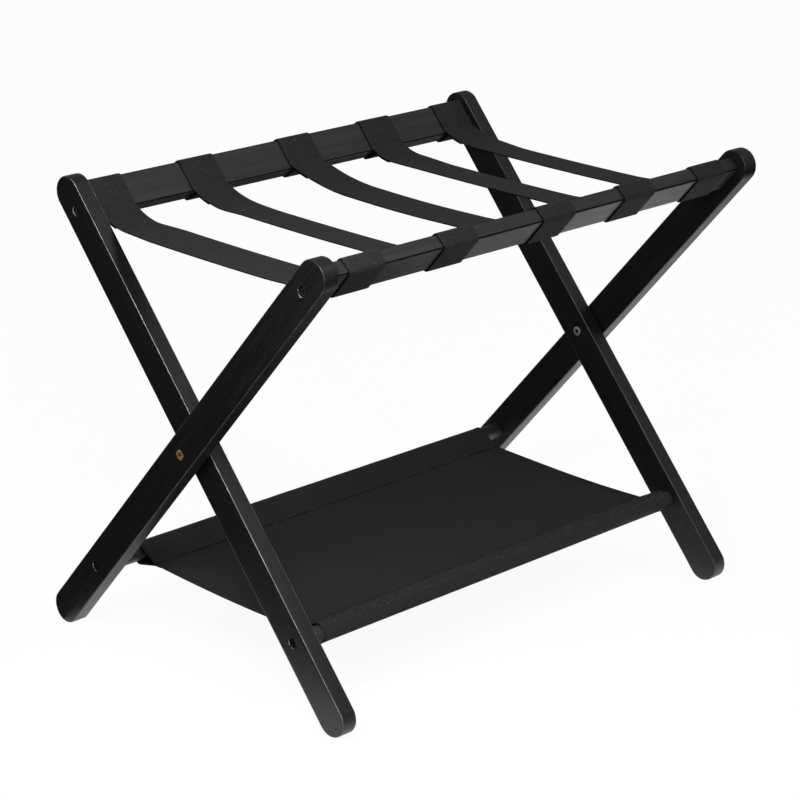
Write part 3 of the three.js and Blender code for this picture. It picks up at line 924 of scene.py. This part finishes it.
def dress_boards():
    """Each board gets its own painted wood, because grain and wear follow its own size."""
    for kind, turn, angle, rail, bar in (
        ("outer", OUTER, LEAN, "front_rail", "rear_bar"),
        ("inner", INNER, -LEAN, "back_rail", "front_bar"),
    ):
        for side in ("left", "right"):
            node = f"{kind}_leg_{side}"
            low, high = in_leg(node, turn)
            centre, half = (low + high) / 2, (high - low) / 2
            screws = [f"{rail}_screw_{side}", f"{bar}_screw_{side}"]
            seats = seats_of(turn, centre, screws)
            rub_and_highlight = EDGE_WEAR_AND_HIGHLIGHT[node]
            refine(node, painted_wood(f"painted_{node}", angle, centre, half, half.y, seats, rub_and_highlight))
        for node in (rail.replace("_rail", "_top_rail"), bar.replace("_bar", "_shelf_bar")):
            low, high = in_leg(node, turn)
            centre, half = (low + high) / 2, (high - low) / 2
            refine(node, painted_wood(f"painted_{node}", angle, centre, half))


def dress_hardware():
    finishes = {
        "screw": black_oxide(),
        "sleeve_nut": pivot_metal(
            "satin_brass", BRASS, metallic=0.45, scratch_depth=0.25 * MM, tarnished=0.12,
            socket_radius=2.6 * MM, head_radius=6.5 * MM,
        ),
        "pivot_bolt": pivot_metal(
            "satin_nickel", NICKEL, metallic=0.85, scratch_depth=0.1 * MM, tarnished=0.6,
            socket_radius=2.5 * MM, head_radius=6.2 * MM,
        ),
        "washer": black_nylon(),
        "dowel": turned_hardwood(),
    }
    for node in frame["nodes"]:
        for word, material in finishes.items():
            if word in node:
                refine(node, material)


dress_boards()
dress_hardware()
for number, (bend, roll) in enumerate(zip(STRAP_BENDS, STRAP_ROLLS), 1):
    strap(number, bend, roll)
shelf()

# ---------------------------------------------------------------- studio

FLOOR_GLOW = 0.93  # near white by itself
FLOOR_HALF = 40  # metres
WALL_RADIUS, WALL_HEIGHT, WALL_SIDES = 39, 14, 48
GROUND_HALF = 9
GROUND_GLOW = 0.03
CARD_LOW, CARD_HIGH = (-0.38, -0.45), (0.95, 0.22)  # the lit floor that the rack sees
CARD_GLOW = 1.05
SHADE_SHARE = 0.3  # of the card's glow is left in the shade under the shelf
SHADE_HALF_X, SHADE_HALF_Y, SHADE_Y = 0.27, 0.25, -0.07
SHADE_RIM = (-0.04, 0.03)  # it ends softly, from this far inside its edge to this far outside
WORLD_GLOW = 0.24
# Each lamp's direction from the pivot, distance and size in metres, and power in watts.
LAMPS = {
    "key": ((0.35, -0.55, 0.75), 2.8, 1.1, 7),
    "top": ((0.0, 0.1, 1.0), 2.6, 1.8, 0.6),
    "front": ((-0.25, -1.0, 0.12), 3.2, 0.9, 9.5),
    "left": ((-0.73, -0.37, 0.575), 0.95, 0.3, 2.8),
}


def floor_material():
    """Near white by itself, with a little of the lamps' light so that the rack's shadow shows softly."""
    s = Shader("studio_floor_white")
    cloud = s.noise(s.place, 0.7, 2)
    return s.finish(Base_Color=s.mix(cloud, (0.16, 0.16, 0.16), (0.17, 0.17, 0.17)), Roughness=0.9,
                    Specular_IOR_Level=0.0, Emission_Color=(1, 1, 1, 1), Emission_Strength=FLOOR_GLOW)


def glow_material(name, strength):
    s = Shader(name)
    return s.finish(Base_Color=(0, 0, 0, 1), Roughness=1.0, Specular_IOR_Level=0.0,
                    Emission_Color=(1, 1, 1, 1), Emission_Strength=strength)


def bounce_material(strength):
    """The lit floor as the rack sees it, dimmer in the shade under the shelf."""
    s = Shader("studio_bounce")
    x, y, _ = s.split(s.place)
    beyond_x = s.math("SUBTRACT", s.math("ABSOLUTE", x), SHADE_HALF_X)
    beyond_y = s.math("SUBTRACT", s.math("ABSOLUTE", s.math("SUBTRACT", y, SHADE_Y)), SHADE_HALF_Y)
    beyond = s.math("MAXIMUM", beyond_x, beyond_y)
    glow = s.ramp(beyond, *SHADE_RIM, SHADE_SHARE * strength, strength)
    return s.finish(Base_Color=(0, 0, 0, 1), Roughness=1.0, Specular_IOR_Level=0.0,
                    Emission_Color=(1, 1, 1, 1), Emission_Strength=glow)


def sheet_of_floor(name, low, high, z, material):
    """A flat rectangle on the floor, part of the studio."""
    mesh = bmesh.new()
    corners = [(low[0], low[1]), (high[0], low[1]), (high[0], high[1]), (low[0], high[1])]
    mesh.faces.new([mesh.verts.new((x, y, z)) for x, y in corners])
    return studio_piece(name, mesh, material)


def far_wall(name, radius, height, sides, material):
    """A pale wall round the floor's far rim, so that a low view has no dark horizon."""
    mesh = bmesh.new()
    columns = []
    for k in range(sides):
        turn = 2 * math.pi * k / sides
        x, y = radius * math.cos(turn), radius * math.sin(turn)
        columns.append([mesh.verts.new((x, y, z)) for z in (0, height)])
    for (low, high), (next_low, next_high) in zip(columns, columns[1:] + columns[:1]):
        mesh.faces.new([low, high, next_high, next_low])
    return studio_piece(name, mesh, material)


def studio_piece(name, mesh, material):
    data = bpy.data.meshes.new(name)
    mesh.to_mesh(data)
    mesh.free()
    data.materials.append(material)
    piece = bpy.data.objects.new(name, data)
    bpy.context.scene.collection.objects.link(piece)
    return piece


def seen_by(piece, camera, light):
    """Says whether the camera sees a studio piece, and whether the object is lit and mirrored by it."""
    piece.visible_camera = camera
    piece.visible_diffuse = light
    piece.visible_glossy = light
    piece.visible_shadow = light
    piece.visible_transmission = light


def area_light(name, direction, distance, size, power):
    """A round lamp that looks at the pivot and isn't seen itself."""
    data = bpy.data.lights.new(name, "AREA")
    data.shape = "DISK"
    data.size = size
    data.energy = power
    lamp = bpy.data.objects.new(name, data)
    away = Vector(direction).normalized()
    lamp.location = PIVOT + away * distance
    lamp.visible_camera = False
    lamp.rotation_mode = "QUATERNION"
    lamp.rotation_quaternion = away.to_track_quat("Z", "Y")
    bpy.context.scene.collection.objects.link(lamp)


def studio():
    """The camera sees the white floor and wall; the rack is lit by the lamps, the world, a dark
    ground and a bright card."""
    white = floor_material()
    low, high = (-FLOOR_HALF, -FLOOR_HALF), (FLOOR_HALF, FLOOR_HALF)
    floor = sheet_of_floor("studio_floor", low, high, 0.0, white)
    seen_by(floor, camera=True, light=False)
    wall = far_wall("studio_wall", WALL_RADIUS, WALL_HEIGHT, WALL_SIDES, white)
    seen_by(wall, camera=True, light=False)
    low, high = (-GROUND_HALF, -GROUND_HALF), (GROUND_HALF, GROUND_HALF)
    dark = glow_material("studio_ground_dark", GROUND_GLOW)
    ground = sheet_of_floor("studio_ground", low, high, -2 * MM, dark)
    seen_by(ground, camera=False, light=True)
    bright = bounce_material(CARD_GLOW)
    card = sheet_of_floor("studio_bounce", CARD_LOW, CARD_HIGH, -1 * MM, bright)
    seen_by(card, camera=False, light=True)
    world = bpy.data.worlds.new("studio")
    world.use_nodes = True
    background = world.node_tree.nodes["Background"]
    background.inputs["Color"].default_value = (1, 1, 1, 1)
    background.inputs["Strength"].default_value = WORLD_GLOW
    bpy.context.scene.world = world
    for name, lamp in LAMPS.items():
        area_light(name, *lamp)


CAMERA_AZIMUTH = math.radians(-44.28)
CAMERA_ELEVATION = math.radians(19.43)
CAMERA_ROLL = math.radians(0.38)
CAMERA_DISTANCE = 2.988
CAMERA_LENS = 117.8
AIM_FROM_PIVOT = Vector((-7.2 * MM, 0, -16.7 * MM))


def camera():
    data = bpy.data.cameras.new("camera")
    data.lens = CAMERA_LENS
    data.sensor_width = 36
    data.clip_start, data.clip_end = 0.05, 90
    eye = bpy.data.objects.new("camera", data)
    level = math.cos(CAMERA_ELEVATION)
    level_back = Vector((math.sin(CAMERA_AZIMUTH), -math.cos(CAMERA_AZIMUTH), 0))
    back = level_back * level + Vector((0, 0, math.sin(CAMERA_ELEVATION)))
    turn = (-back).to_track_quat("-Z", "Y").to_matrix() @ Matrix.Rotation(CAMERA_ROLL, 3, "Z")
    eye.matrix_world = Matrix.Translation(PIVOT + AIM_FROM_PIVOT + back * CAMERA_DISTANCE) @ turn.to_4x4()
    bpy.context.scene.collection.objects.link(eye)
    bpy.context.scene.camera = eye


studio()
camera()
bpy.context.scene.view_settings.view_transform = "Standard"

bpy.context.view_layer.update()
